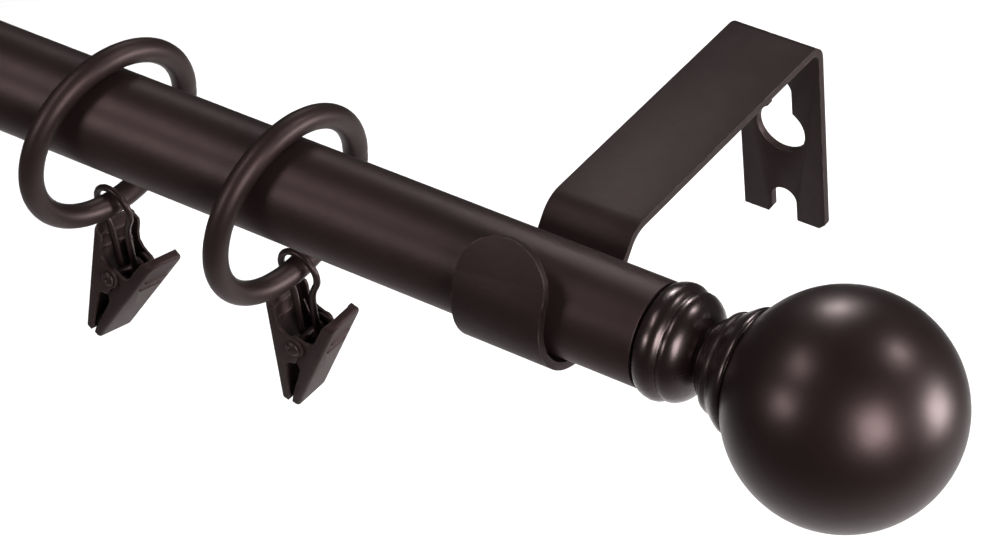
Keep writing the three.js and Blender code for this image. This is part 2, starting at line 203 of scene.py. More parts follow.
# Coats. Dust is the shade of the specks, and the edge shade is a lighter colour laid on every edge, part
# rubbed coat and part painted highlight; the depths are in metres.
coats = {
    "bronze": {
        "dark": (0.0125, 0.0068, 0.0068, 1),
        "light": (0.018, 0.0100, 0.0100, 1),
        "dust": (0.22, 0.20, 0.20, 1),
        "cloudScale": 28,
        "grainScale": 2600,
        "grainDepth": 0.000012,
        "peelScale": 620,
        "peelDepth": 0.00003,
        "specks": 190,
        "speckSize": 0.055,
        "gloss": (0.40, 0.50),
        "metal": 0.1,
        "sheen": (1.0, 0.74, 0.74, 1),
        "shine": 0.5,
        "wornAndHighlight": (0.085, 0.066, 0.064, 1),
        "coat": 0.0,
    },
    "glossBronze": {
        "dark": (0.009, 0.0045, 0.0045, 1),
        "light": (0.012, 0.0065, 0.0065, 1),
        "dust": (0.16, 0.14, 0.14, 1),
        "cloudScale": 22,
        "grainScale": 3200,
        "grainDepth": 0.000003,
        "peelScale": 240,
        "peelDepth": 0.00003,
        "specks": 120,
        "speckSize": 0.03,
        "gloss": (0.33, 0.40),
        "metal": 0.05,
        "sheen": (1.0, 0.72, 0.72, 1),
        "shine": 0.5,
        "wornAndHighlight": (0.05, 0.036, 0.036, 1),
        "coat": 0.1,
    },
    "strapBronze": {
        "dark": (0.0105, 0.0056, 0.0056, 1),
        "light": (0.0155, 0.0086, 0.0086, 1),
        "dust": (0.22, 0.20, 0.20, 1),
        "cloudScale": 40,
        "grainScale": 2400,
        "grainDepth": 0.000018,
        "peelScale": 520,
        "peelDepth": 0.00005,
        "specks": 210,
        "speckSize": 0.055,
        "gloss": (0.46, 0.58),
        "metal": 0.05,
        "sheen": (1.0, 0.74, 0.74, 1),
        "shine": 0.34,
        "wornAndHighlight": (0.085, 0.066, 0.064, 1),
        "coat": 0.0,
    },
    "turnedBronze": {
        "dark": (0.009, 0.0045, 0.0045, 1),
        "light": (0.012, 0.0065, 0.0065, 1),
        "dust": (0.16, 0.14, 0.14, 1),
        "cloudScale": 30,
        "grainScale": 3200,
        "grainDepth": 0.000003,
        "peelScale": 260,
        "peelDepth": 0.00002,
        "specks": 150,
        "speckSize": 0.03,
        "gloss": (0.23, 0.30),
        "metal": 0.05,
        "sheen": (1.0, 0.76, 0.76, 1),
        "shine": 0.6,
        "wornAndHighlight": (0.05, 0.036, 0.036, 1),
        "coat": 0.3,
    },
    "stampedBronze": {
        "dark": (0.0125, 0.0068, 0.0068, 1),
        "light": (0.020, 0.0115, 0.0115, 1),
        "dust": (0.16, 0.13, 0.13, 1),
        "cloudScale": 70,
        "grainScale": 2800,
        "grainDepth": 0.00002,
        "peelScale": 700,
        "peelDepth": 0.00004,
        "specks": 260,
        "speckSize": 0.05,
        "gloss": (0.56, 0.68),
        "metal": 0.0,
        "sheen": (1.0, 0.70, 0.70, 1),
        "shine": 0.42,
        "wornAndHighlight": (0.085, 0.066, 0.064, 1),
        "coat": 0.0,
    },
    "wireBronze": {
        "dark": (0.012, 0.0065, 0.0065, 1),
        "light": (0.017, 0.0100, 0.0100, 1),
        "dust": (0.18, 0.16, 0.16, 1),
        "cloudScale": 60,
        "grainScale": 3000,
        "grainDepth": 0.000008,
        "peelScale": 900,
        "peelDepth": 0.00002,
        "specks": 200,
        "speckSize": 0.04,
        "gloss": (0.34, 0.44),
        "metal": 0.1,
        "sheen": (1.0, 0.74, 0.74, 1),
        "shine": 0.5,
        "wornAndHighlight": (0.085, 0.066, 0.064, 1),
        "coat": 0.0,
    },
}


# Where the edges are painted lighter, part rubbed coat and part painted highlight: how far a rounded-over
# normal leaves the true one, broken up in patches
edgeWearAndHighlight = {
    "reach": 0.0006,
    "samples": 6,
    "match": (0.86, 0.985),
    "patchScale": 420,
    "patch": (0.38, 0.68),
}

# What the six coats have in common
skin = {
    "cloud": (0.35, 0.7),
    "chosenSpecks": (0.86, 0.88),
    "glossPerCloud": 6,
    "coatRoughness": 0.3,
}


# Lays a lighter colour on every sharp edge, in patches: part rubbed coat, part painted highlight standing in
# for the bright rims
def wornAndHighlitEdges(tree, place, shade, wornAndHighlight):
    rounded = addNode(tree, "ShaderNodeBevel", samples=edgeWearAndHighlight["samples"], Radius=edgeWearAndHighlight["reach"])
    straight = addNode(tree, "ShaderNodeNewGeometry")
    match = addNode(tree, "ShaderNodeVectorMath", operation="DOT_PRODUCT")
    tree.links.new(rounded.outputs["Normal"], match.inputs[0])
    tree.links.new(straight.outputs["Normal"], match.inputs[1])
    edge = ramp(tree, match.outputs["Value"], *edgeWearAndHighlight["match"], white, black)
    patches = ramp(tree, noise(tree, place, edgeWearAndHighlight["patchScale"], 4), *edgeWearAndHighlight["patch"])
    both = addNode(tree, "ShaderNodeMath", operation="MULTIPLY")
    tree.links.new(edge, both.inputs[0])
    tree.links.new(patches, both.inputs[1])
    return blendShades(tree, both.outputs[0], shade, wornAndHighlight)


def coatedMetal(name):
    # A baked coat: cloudy shade, fine grain, the soft waves of a sprayed skin, a little dust in it, and
    # lighter edges that are part rubbed coat and part painted highlight
    look = coats[name]
    material, tree, shader = newMaterial(name)
    place = addNode(tree, "ShaderNodeTexCoord").outputs["Object"]
    cloud = ramp(tree, noise(tree, place, look["cloudScale"], 4), *skin["cloud"])
    shade = blendShades(tree, cloud, look["dark"], look["light"])
    cells = addNode(tree, "ShaderNodeTexVoronoi", Scale=look["specks"])
    tree.links.new(place, cells.inputs["Vector"])
    size = look["speckSize"]
    speck = ramp(tree, cells.outputs["Distance"], size * 0.5, size, white, black)
    chosen = ramp(tree, cells.outputs["Color"], *skin["chosenSpecks"])
    both = addNode(tree, "ShaderNodeMath", operation="MULTIPLY")
    tree.links.new(speck, both.inputs[0])
    tree.links.new(chosen, both.inputs[1])
    dusted = blendShades(tree, both.outputs[0], shade, look["dust"])
    # every edge lighter: rubbed coat and painted edge highlight
    shade = wornAndHighlitEdges(tree, place, dusted, look["wornAndHighlight"])
    tree.links.new(shade, shader.inputs["Base Color"])
    gloss = addNode(tree, "ShaderNodeMapRange")
    gloss.inputs["To Min"].default_value, gloss.inputs["To Max"].default_value = look["gloss"]
    tree.links.new(noise(tree, place, look["cloudScale"] * skin["glossPerCloud"], 3), gloss.inputs["Value"])
    tree.links.new(gloss.outputs["Result"], shader.inputs["Roughness"])
    peel = addNode(tree, "ShaderNodeBump", Strength=1.0, Distance=look["peelDepth"])
    tree.links.new(noise(tree, place, look["peelScale"], 2), peel.inputs["Height"])
    grain = addNode(tree, "ShaderNodeBump", Strength=1.0, Distance=look["grainDepth"])
    tree.links.new(noise(tree, place, look["grainScale"], 2), grain.inputs["Height"])
    tree.links.new(peel.outputs["Normal"], grain.inputs["Normal"])
    tree.links.new(grain.outputs["Normal"], shader.inputs["Normal"])
    shader.inputs["Metallic"].default_value = look["metal"]
    shader.inputs["Specular Tint"].default_value = look["sheen"]
    shader.inputs["Specular IOR Level"].default_value = look["shine"]
    shader.inputs["Coat Weight"].default_value = look["coat"]
    shader.inputs["Coat Roughness"].default_value = skin["coatRoughness"]
    return material


zinc = {
    "dull": (0.42, 0.42, 0.40, 1),
    "bright": (0.62, 0.61, 0.56, 1),
    "bloomScale": 90,
    "bloom": (0.3, 0.75),
    "lines": 420,
    "lineWander": 0.4,
    "lineDepth": 0.00012,
    "smudgeScale": 300,
    "smudge": (0.2, 0.9),
    "roughness": (0.25, 0.45),
    "metal": 0.95,
}


def zincPlate():
    # Plated thread: bright, with turning lines round the stud and a passivated bloom
    material, tree, shader = newMaterial("zinc")
    place = addNode(tree, "ShaderNodeTexCoord").outputs["Object"]
    lines = addNode(
        tree, "ShaderNodeTexWave", Scale=zinc["lines"], Distortion=zinc["lineWander"], bands_direction="X",
    )
    tree.links.new(place, lines.inputs["Vector"])
    bloom = ramp(tree, noise(tree, place, zinc["bloomScale"], 4), *zinc["bloom"])
    tree.links.new(blendShades(tree, bloom, zinc["dull"], zinc["bright"]), shader.inputs["Base Color"])
    bump = addNode(tree, "ShaderNodeBump", Strength=0.6, Distance=zinc["lineDepth"])
    tree.links.new(lines.outputs["Fac"], bump.inputs["Height"])
    tree.links.new(bump.outputs["Normal"], shader.inputs["Normal"])
    smooth, rough = (grey(level) for level in zinc["roughness"])
    smudges = ramp(tree, noise(tree, place, zinc["smudgeScale"]), *zinc["smudge"], smooth, rough)
    tree.links.new(smudges, shader.inputs["Roughness"])
    shader.inputs["Metallic"].default_value = zinc["metal"]
    return material


nylon = {
    "dark": (0.018, 0.017, 0.017, 1),
    "light": (0.030, 0.028, 0.028, 1),
    "cloudScale": 160,
    "cloud": (0.3, 0.7),
    "sparkScale": 2200,
    "sparkDepth": 0.00004,
    "patchScale": 700,
    "patch": (0.2, 0.8),
    "roughness": (0.5, 0.68),
}


def blackNylon():
    # Moulded insert: matte, with the faint spark texture of its mould
    material, tree, shader = newMaterial("nylon")
    place = addNode(tree, "ShaderNodeTexCoord").outputs["Object"]
    cloud = ramp(tree, noise(tree, place, nylon["cloudScale"], 4), *nylon["cloud"])
    tree.links.new(blendShades(tree, cloud, nylon["dark"], nylon["light"]), shader.inputs["Base Color"])
    bump = addNode(tree, "ShaderNodeBump", Strength=0.8, Distance=nylon["sparkDepth"])
    tree.links.new(noise(tree, place, nylon["sparkScale"], 3), bump.inputs["Height"])
    tree.links.new(bump.outputs["Normal"], shader.inputs["Normal"])
    smooth, rough = (grey(level) for level in nylon["roughness"])
    patches = ramp(tree, noise(tree, place, nylon["patchScale"]), *nylon["patch"], smooth, rough)
    tree.links.new(patches, shader.inputs["Roughness"])
    return material


finishes = {name: coatedMetal(name) for name in coats}
finishes["zinc"] = zincPlate()
finishes["nylon"] = blackNylon()
print("finishes ready:", ", ".join(finishes))


# Modelling helpers. Corners closer than a gap are one corner, in an outline or on a round piece.
outlineGap = 1e-6
roundGap = 2e-6
wireSmoothness = {"round": 5, "along": 6}


def startPiece():
    bpy.ops.object.select_all(action="DESELECT")


def editPiece(mode="VERT", everything=True):
    bpy.ops.object.mode_set(mode="EDIT")
    bpy.ops.mesh.select_mode(type=mode)
    bpy.ops.mesh.select_all(action="SELECT" if everything else "DESELECT")


def onlyPiece(piece):
    startPiece()
    piece.select_set(True)
    bpy.context.view_layer.objects.active = piece


def drawOutline(name, points):
    # A closed face in the XZ plane, drawn corner by corner
    startPiece()
    bpy.ops.mesh.primitive_plane_add(size=mm, location=(points[0][0], 0, points[0][1]))
    piece = bpy.context.object
    piece.name = name
    editPiece()
    bpy.ops.mesh.merge(type="CENTER")
    for start, end in zip(points, points[1:] + points[:1]):
        step = (end[0] - start[0], 0, end[1] - start[1])
        bpy.ops.mesh.extrude_region_move(TRANSFORM_OT_translate={"value": step})
    bpy.ops.mesh.select_all(action="SELECT")
    bpy.ops.mesh.remove_doubles(threshold=outlineGap)
    bpy.ops.mesh.edge_face_add()
    return piece


def pushOut(piece, depth):
    # Gives a drawn outline its depth, centred on Y = 0
    bpy.ops.transform.translate(value=(0, -depth / 2, 0))
    bpy.ops.mesh.extrude_region_move(TRANSFORM_OT_translate={"value": (0, depth, 0)})
    bpy.ops.mesh.select_all(action="SELECT")
    bpy.ops.mesh.normals_make_consistent(inside=False)
    bpy.ops.object.mode_set(mode="OBJECT")
    bpy.ops.object.transform_apply(location=True, rotation=True, scale=True)


def turnProfile(name, profile, sides, closed=False):
    # A circle pulled along X and resized at each step; a closed profile ends on its first step
    startPiece()
    bpy.ops.mesh.primitive_circle_add(vertices=sides, radius=profile[0][1], rotation=(0, math.pi / 2, 0))
    piece = bpy.context.object
    piece.name = name
    bpy.ops.object.transform_apply(location=True, rotation=True, scale=True)
    editPiece()
    bpy.ops.transform.translate(value=(profile[0][0], 0, 0))
    steps = profile[1:] + (profile[:1] if closed else [])
    x, radius = profile[0]
    for nextX, nextRadius in steps:
        bpy.ops.mesh.extrude_region_move(TRANSFORM_OT_translate={"value": (nextX - x, 0, 0)})
        grow = nextRadius / radius
        bpy.ops.transform.resize(value=(1, grow, grow), center_override=(nextX, 0, 0))
        x, radius = nextX, nextRadius
    bpy.ops.mesh.select_all(action="SELECT")
    bpy.ops.mesh.remove_doubles(threshold=roundGap)
    bpy.ops.mesh.normals_make_consistent(inside=False)
    bpy.ops.object.mode_set(mode="OBJECT")
    return piece


def applyModifier(piece, kind, **values):
    onlyPiece(piece)
    modifier = piece.modifiers.new(kind.lower(), kind)
    for key, value in values.items():
        setattr(modifier, key, value)
    bpy.ops.object.modifier_apply(modifier=modifier.name)


def softenEdges(piece, width, segments, angle):
    # Rounds the edges sharper than an angle in degrees; the width is in mm
    applyModifier(
        piece, "BEVEL", width=width * mm, segments=segments,
        limit_method="ANGLE", angle_limit=math.radians(angle),
    )


def cutWith(piece, cutter, operation="DIFFERENCE"):
    applyModifier(piece, "BOOLEAN", operation=operation, object=cutter, solver="EXACT")
    bpy.data.objects.remove(cutter)


def placeMesh(piece, matrix):
    piece.data.transform(matrix)
    piece.data.update()


def copyPiece(piece, name):
    twin = piece.copy()
    twin.data = piece.data.copy()
    twin.name = name
    bpy.context.scene.collection.objects.link(twin)
    return twin


def finishPiece(piece, finish, body, *nodes, sharp=40):
    onlyPiece(piece)
    bpy.ops.object.shade_smooth_by_angle(angle=math.radians(sharp))
    piece.data.materials.clear()
    piece.data.materials.append(finishes[finish])
    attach(piece, body)
    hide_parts(*nodes)


def sweep(name, centres, radius, endless):
    # A round wire drawn through its centre line
    startPiece()
    curve = bpy.data.curves.new(name, "CURVE")
    curve.dimensions = "3D"
    curve.bevel_depth = radius
    curve.bevel_resolution = wireSmoothness["round"]
    curve.use_fill_caps = not endless
    curve.resolution_u = wireSmoothness["along"]
    spline = curve.splines.new("NURBS")
    spline.points.add(len(centres) - 1)
    for point, centre in zip(spline.points, centres):
        point.co = (*centre, 1)
    spline.order_u = 3
    spline.use_cyclic_u = endless
    spline.use_endpoint_u = not endless
    piece = bpy.data.objects.new(name, curve)
    bpy.context.scene.collection.objects.link(piece)
    onlyPiece(piece)
    bpy.ops.object.convert(target="MESH")
    piece = bpy.context.object
    editPiece()
    bpy.ops.mesh.remove_doubles(threshold=roundGap)
    bpy.ops.mesh.normals_make_consistent(inside=False)
    bpy.ops.object.mode_set(mode="OBJECT")
    return piece


def inMetres(points):
    return [tuple(value * mm for value in point) for point in points]


def arcPoints(centre, radius, start, end, steps):
    angles = [math.radians(start + (end - start) * step / steps) for step in range(steps + 1)]
    return [(centre[0] + radius * math.cos(angle), centre[1] + radius * math.sin(angle)) for angle in angles]


# Tubes: length and diameter come from the frame, the wall and the softened lip from here, mm
tubes = {
    "outerTube": {"node": "outer_tube", "body": "rod", "wall": 0.9},
    "innerTube": {"node": "inner_tube", "body": "inner_rod", "wall": 0.8},
}
tubeSides = 160
tubeLip = 0.25


def buildTube(name, look):
    low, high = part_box(look["node"])
    radius = (high.z - low.z) / 2
    startPiece()
    bpy.ops.mesh.primitive_cylinder_add(
        vertices=tubeSides, radius=radius, depth=high.x - low.x, end_fill_type="NOTHING",
        location=((low.x + high.x) / 2, rodY, 0), rotation=(0, math.pi / 2, 0),
    )
    tube = bpy.context.object
    tube.name = name
    bpy.ops.object.transform_apply(location=True, rotation=True, scale=True)
    applyModifier(tube, "SOLIDIFY", thickness=look["wall"] * mm, offset=-1)
    softenEdges(tube, tubeLip, 3, 60)
    finishPiece(tube, "bronze", look["body"], look["node"])


for name, look in tubes.items():
    buildTube(name, look)
print("tubes built")

# Finials: a turned neck with two beads and a cup, and the ball that sits in it
finial = {
    "sides": 96,
    "bore": 3.3,
    "boreClearance": 0.2,
    "boreDepth": 13,
    "start": 0.3,
    "seatRadius": 27.4,
    "seatSteps": (14.5, 12.5, 10, 7),
    "ballRadius": 27.1,
    "ballSides": 128,
    "ballRings": 72,
    "ballOut": 47.3,
    # distance from the tube's end and radius, mm
    "neck": [
        (0.3, 11.4), (0.35, 12.0), (0.9, 12.9), (1.6, 13.35), (2.6, 13.7), (3.9, 13.9), (5.0, 13.75),
        (5.9, 13.3), (6.35, 12.75), (6.6, 12.55), (7.0, 12.65), (7.7, 12.95), (8.7, 12.75), (9.8, 12.15),
        (10.9, 11.2), (11.9, 9.9), (12.6, 8.6), (12.95, 7.75), (13.2, 7.45), (13.6, 7.55), (14.0, 8.2),
        (14.5, 8.95), (15.2, 9.6), (16.0, 10.0), (16.5, 10.2), (16.7, 10.5), (16.85, 11.2), (17.2, 11.65),
        (17.9, 12.0), (18.7, 12.2), (19.2, 12.25), (19.6, 12.45), (20.3, 13.1), (21.2, 13.8), (22.1, 14.4),
        (22.9, 14.85), (23.6, 15.0), (24.1, 15.0), (24.35, 14.8),
    ],
}


def buildNeck():
    # the cup's inside follows the ball, down to the bore for the stud
    out, seatRadius = finial["ballOut"], finial["seatRadius"]
    steps = (*finial["seatSteps"], finial["bore"])
    seat = [(out - math.sqrt(seatRadius ** 2 - radius ** 2), radius) for radius in steps]
    profile = finial["neck"] + seat + [(finial["start"], finial["bore"])]
    return turnProfile("finialNeckRight", inMetres(profile), finial["sides"], closed=True)


def buildBall():
    startPiece()
    bpy.ops.mesh.primitive_uv_sphere_add(
        segments=finial["ballSides"], ring_count=finial["ballRings"], radius=finial["ballRadius"] * mm,
        rotation=(0, -math.pi / 2, 0),
    )
    ball = bpy.context.object
    ball.name = "finialBallRight"
    bpy.ops.object.transform_apply(location=True, rotation=True, scale=True)
    # the stud's bore opens towards the rod
    editPiece("FACE", False)
    shell = bmesh.from_edit_mesh(ball.data)
    mouth = (finial["bore"] + finial["boreClearance"]) * mm
    for face in shell.faces:
        centre = face.calc_center_median()
        if centre.x < 0 and math.hypot(centre.y, centre.z) < mouth:
            face.select_set(True)
    bmesh.update_edit_mesh(ball.data)
    bpy.ops.mesh.dissolve_faces()
    bpy.ops.mesh.inset(thickness=finial["boreClearance"] * mm, depth=0)
    bpy.ops.mesh.extrude_region_move(TRANSFORM_OT_translate={"value": (finial["boreDepth"] * mm, 0, 0)})
    bpy.ops.mesh.select_all(action="SELECT")
    bpy.ops.mesh.normals_make_consistent(inside=False)
    bpy.ops.object.mode_set(mode="OBJECT")
    return ball


def placeFinial(side, sign, neck, ball):
    turn = 0 if sign > 0 else math.pi
    rodTip = Matrix.Translation((sign * rodEnd, rodY, 0)) @ Matrix.Rotation(turn, 4, "Z")
    placeMesh(neck, rodTip)
    finishPiece(neck, "turnedBronze", side + "_finial", "finial_neck_" + side, sharp=50)
    placeMesh(ball, rodTip @ Matrix.Translation((finial["ballOut"] * mm, 0, 0)))
    finishPiece(ball, "glossBronze", side + "_finial", "finial_ball_" + side, sharp=50)


neck, ball = buildNeck(), buildBall()
placeFinial("left", -1, copyPiece(neck, "finialNeckLeft"), copyPiece(ball, "finialBallLeft"))
placeFinial("right", 1, neck, ball)
print("finials built")

# Brackets: one strap bent into wall plate, arm and open hook.
# The side view is (towards the wall, up) from the rod's axis, in mm and degrees.
strap = {
    "width": 23.7,
    "thick": 2.0,
    "centreX": 323.05,
    "hook": (-0.4, 1.6),
    "hookRadius": 14.6,
    "hookBack": 42,
    "tongueLean": 29,
    "tongueLength": 13.6,
    "armSlope": 3.35,
    "armAt": (31, 4.73),
    "crestRadius": 9,
    "bendRadius": 5,
    "plateBottom": -59.3,
    "keyhole": (-30.2, 6.9),
    "slot": (-17.5, 3.5),
    "notch": (-53.5, 3.6),
    "footChamfer": 1.8,
    "notchLip": 0.4,
    "notchLean": 1.4,
    "edge": 0.32,
}


def strapOutline():
    slopeDegrees, backDegrees, leanDegrees = (strap[key] for key in ("armSlope", "hookBack", "tongueLean"))
    slope, back, lean = (math.radians(angle) for angle in (slopeDegrees, backDegrees, leanDegrees))
    hookY, hookZ = strap["hook"]
    radius, crestRadius, bendRadius = strap["hookRadius"], strap["crestRadius"], strap["bendRadius"]
    armY, armZ = strap["armAt"]

    def armAt(y):
        return armZ - math.tan(slope) * (y - armY)

    start = (hookY + radius * math.cos(back), hookZ - radius * math.sin(back))
    climb = (math.sin(back), math.cos(back))
    rise = math.pi / 2 - back
    toCentre = (math.sin(rise) * crestRadius, -math.cos(rise) * crestRadius)
    toCrest = (toCentre[0] + math.sin(slope) * crestRadius, toCentre[1] + math.cos(slope) * crestRadius)
    # the climb is just long enough for the crest's far end to land on the arm
    high = start[1] + toCrest[1] - armAt(start[0] + toCrest[0])
    length = -high / (climb[1] + math.tan(slope) * climb[0])
    crest = (start[0] + climb[0] * length + toCentre[0], start[1] + climb[1] * length + toCentre[1])
    bend = (-rodY / mm - bendRadius, armAt(-rodY / mm - bendRadius) - bendRadius / math.cos(slope))
    front = (-math.cos(lean), math.sin(lean))

    def face(depth):
        root = (hookY + front[0] * (radius + depth), hookZ + front[1] * (radius + depth))
        tall = strap["tongueLength"]
        tip = (root[0] + math.sin(lean) * tall, root[1] + math.cos(lean) * tall)
        return (
            [tip]
            + arcPoints((hookY, hookZ), radius + depth, 180 - leanDegrees, 360 - backDegrees, 48)
            + arcPoints(crest, crestRadius - depth, 90 + math.degrees(rise), 90 - slopeDegrees, 18)
            + arcPoints(bend, bendRadius - depth, 90 - slopeDegrees, 0, 14)
            + [(bend[0] + bendRadius - depth, strap["plateBottom"])]
        )

    return face(0) + face(strap["thick"])[::-1]


def prismCutter(points, depth, matrix):
    cutter = drawOutline("cutter", inMetres(points))
    pushOut(cutter, depth * mm)
    placeMesh(cutter, matrix)
    return cutter


def roundTongue(piece):
    # everything outside a half circle as wide as the strap comes off the tongue's end
    half = strap["width"] / 2
    clear, through = 3, 7
    lean = math.radians(strap["tongueLean"])
    top = strap["tongueLength"]
    bay = arcPoints((0, top - half), half, 0, 180, 32) + [
        (-half - clear, top - half), (-half - clear, top + clear),
        (half + clear, top + clear), (half + clear, top - half),
    ]
    hookY, hookZ = strap["hook"]
    middle = strap["hookRadius"] + strap["thick"] / 2
    rootY, rootZ = hookY - math.cos(lean) * middle, hookZ + math.sin(lean) * middle
    root = Matrix.Translation((0, rootY * mm, rootZ * mm))
    cutWith(piece, prismCutter(bay, through, root @ Matrix.Rotation(-lean, 4, "X")))


def piercePlate(piece):
    # the keyhole, the foot's notch for a lower screw and the clipped corner
    half = strap["width"] / 2
    past, through = 1, 10
    plate = Matrix.Translation((0, -rodY, 0))
    keyZ, keyRadius = strap["keyhole"]
    slotZ, slotRadius = strap["slot"]
    shoulder = math.degrees(math.asin(math.sqrt(keyRadius ** 2 - slotRadius ** 2) / keyRadius))
    keyhole = arcPoints((0, keyZ), keyRadius, 180 - shoulder, 360 + shoulder, 48)
    keyhole += arcPoints((0, slotZ), slotRadius, 0, 180, 20)
    cutWith(piece, prismCutter(keyhole, through, plate))

    notchZ, notchRadius = strap["notch"]
    bottom, chamfer = strap["plateBottom"], strap["footChamfer"]
    notch = arcPoints((0, notchZ), notchRadius, 0, 180, 20) + [
        (-notchRadius, bottom + chamfer), (-notchRadius - chamfer, bottom - past),
        (notchRadius + chamfer - strap["notchLean"], bottom - past),
        (notchRadius, bottom + strap["notchLip"]),
    ]
    cutWith(piece, prismCutter(notch, through, plate))
    corner = [
        (half + past, bottom + chamfer + past), (half + past, bottom - past),
        (half - chamfer - past, bottom - past),
    ]
    cutWith(piece, prismCutter(corner, through, plate))


def buildBracket():
    piece = drawOutline("bracketRight", inMetres(strapOutline()))
    pushOut(piece, strap["width"] * mm)
    # the side view was drawn in XZ: a quarter turn sends its first axis to the wall
    placeMesh(piece, Matrix.Rotation(math.pi / 2, 4, "Z"))
    roundTongue(piece)
    piercePlate(piece)
    softenEdges(piece, strap["edge"], 3, 42)
    return piece


bracket = buildBracket()
for piece, side, sign in ((copyPiece(bracket, "bracketLeft"), "left", -1), (bracket, "right", 1)):
    placeMesh(piece, Matrix.Translation((sign * strap["centreX"] * mm, rodY, 0)))
    finishPiece(piece, "strapBronze", "wall_brackets", "bracket_" + side, sharp=35)
print("brackets built")

# Rings. Each place is along the rod, then off its axis, in mm; yaw and pitch are how it hangs, in degrees.
rings = {
    "radius": 24.04,
    "wire": 3.09,
    "stepsRound": 144,
    "wireSides": 36,
    "jointPinch": (0.94, 0.9965, 1),
    "1": {"place": (194.07, 1.7, -7.45), "yaw": -12.4, "pitch": 8.6},
    "2": {"place": (249.0, 1.6, -7.5), "yaw": -7.0, "pitch": 7.7},
}


def turnedBy(yaw=0, roll=0, tilt=0):
    return (
        Matrix.Rotation(math.radians(yaw), 4, "Z")
        @ Matrix.Rotation(math.radians(roll), 4, "X")
        @ Matrix.Rotation(math.radians(tilt), 4, "Y")
    )


def buildRing():
    startPiece()
    bpy.ops.mesh.primitive_torus_add(
        major_segments=rings["stepsRound"], minor_segments=rings["wireSides"],
        major_radius=rings["radius"] * mm, minor_radius=rings["wire"] * mm, rotation=(0, math.pi / 2, 0),
    )
    ring = bpy.context.object
    ring.name = "ring1"
    bpy.ops.object.transform_apply(location=True, rotation=True, scale=True)
    # the butt joint of the bent bar, at the wall side
    editPiece("VERT", False)
    shell = bmesh.from_edit_mesh(ring.data)
    for vertex in shell.verts:
        if vertex.co.y > 0 and abs(vertex.co.z) < 0.05 * mm:
            vertex.select_set(True)
    bmesh.update_edit_mesh(ring.data)
    bpy.ops.transform.resize(value=rings["jointPinch"], center_override=(0, rings["radius"] * mm, 0))
    bpy.ops.object.mode_set(mode="OBJECT")
    return ring


# Hangers: a bent wire, round at the top where it rides the ring and narrow where it holds the clip's rivet
hanger = {
    "wire": 0.9,
    "loop": 5.7,
    "loopZ": -1.35,
    "loopEnd": -38,
    "legX": 2.9,
    "waist": [(3.35, -7.3), (2.95, -10.2), (2.9, -14), (2.9, -18)],
    "bottom": -24.7,
    "1": {"yaw": -6, "swing": -1.5},
    "2": {"yaw": -3.7, "swing": 0},
}


def buildHanger():
    leg, bottom = hanger["legX"], hanger["bottom"]
    right = arcPoints((0, hanger["loopZ"]), hanger["loop"], 90, hanger["loopEnd"], 14)
    right += hanger["waist"] + arcPoints((0, bottom + leg), leg, 0, -90, 7)
    centres = right + [(-x, z) for x, z in right[1:-1][::-1]]
    return sweep("hanger1", inMetres((x, 0, z) for x, z in centres), hanger["wire"] * mm, True)


# Clips. A jaw is a folded channel: its plate is offset from the rivet and splayed, nose down and thumb up.
clip = {
    "sheet": 0.7,
    "offset": 7.62,
    "splay": 13.5,
    "flange": 3.3,
    "boss": 2.8,
    "fold": 0.9,
    "hole": 1.5,
    "edge": 0.13,
    "cheek": [(4.6, 3.7), (2.6, 2.9)],
    "mouth": [(-0.9, -5.4), (0.9, -6.4), (1.9, -8), (1.3, -13), (0.5, -18)],
    "lipX": 0.25,
    "lipHeight": 1.5,
    "rimDepth": 2.4,
    "rimSlope": 3,
    "flangeEnd": 5.6,
    "back": {"half": 6.4, "nose": -21.2, "thumb": 11.2, "corner": 2.2},
    "front": {"half": 5.4, "nose": -22.3, "thumb": 15.8, "corner": 3.2},
    "1": {"yaw": -11.6, "roll": -11.3, "tilt": 20},
    "2": {"yaw": -3.7, "roll": 0, "tilt": 13.2},
}
ribs = {
    "up": (2.5, 6.5),
    "radius": 0.8,
    "sunk": 0.35,
    "margin": 1.8,
    "endRounding": 0.6,
}


def plateX(up):
    return clip["offset"] + math.tan(math.radians(clip["splay"])) * up


def jawOutline(nose, thumb):
    flange, lip, end = clip["flange"], clip["lipX"], clip["flangeEnd"]
    rim = thumb - clip["rimSlope"]
    points = [
        (lip, nose), (plateX(nose), nose), (plateX(thumb), thumb), (plateX(thumb) - clip["rimDepth"], thumb),
        (plateX(rim) - flange, rim), (plateX(end) - flange, end), *clip["cheek"],
    ]
    points += arcPoints((0, 0), clip["boss"], 80, 240, 18)
    return points + [*clip["mouth"], (lip, nose + clip["lipHeight"])]


def foldJaw(jaw, thumb, corner):
    # rounds the thumb's corners, then the two long folds
    def atCorner(ends):
        return all(end.z > thumb - 0.01 for end in ends) and abs(ends[0].y - ends[1].y) < 0.01

    def onFold(ends):
        across = abs(ends[0].z - ends[1].z) < 0.01 and ends[0].z < 0
        return all(abs(end.x - plateX(end.z)) < 0.02 for end in ends) and not across

    editPiece("EDGE", False)
    for test, width, segments, clamped in ((atCorner, corner, 7, False), (onFold, clip["fold"], 4, True)):
        bpy.ops.mesh.select_all(action="DESELECT")
        shell = bmesh.from_edit_mesh(jaw.data)
        for edge in shell.edges:
            if test([vertex.co / mm for vertex in edge.verts]):
                edge.select_set(True)
        bmesh.update_edit_mesh(jaw.data)
        bpy.ops.mesh.bevel(offset=width * mm, segments=segments, affect="EDGES", clamp_overlap=clamped)


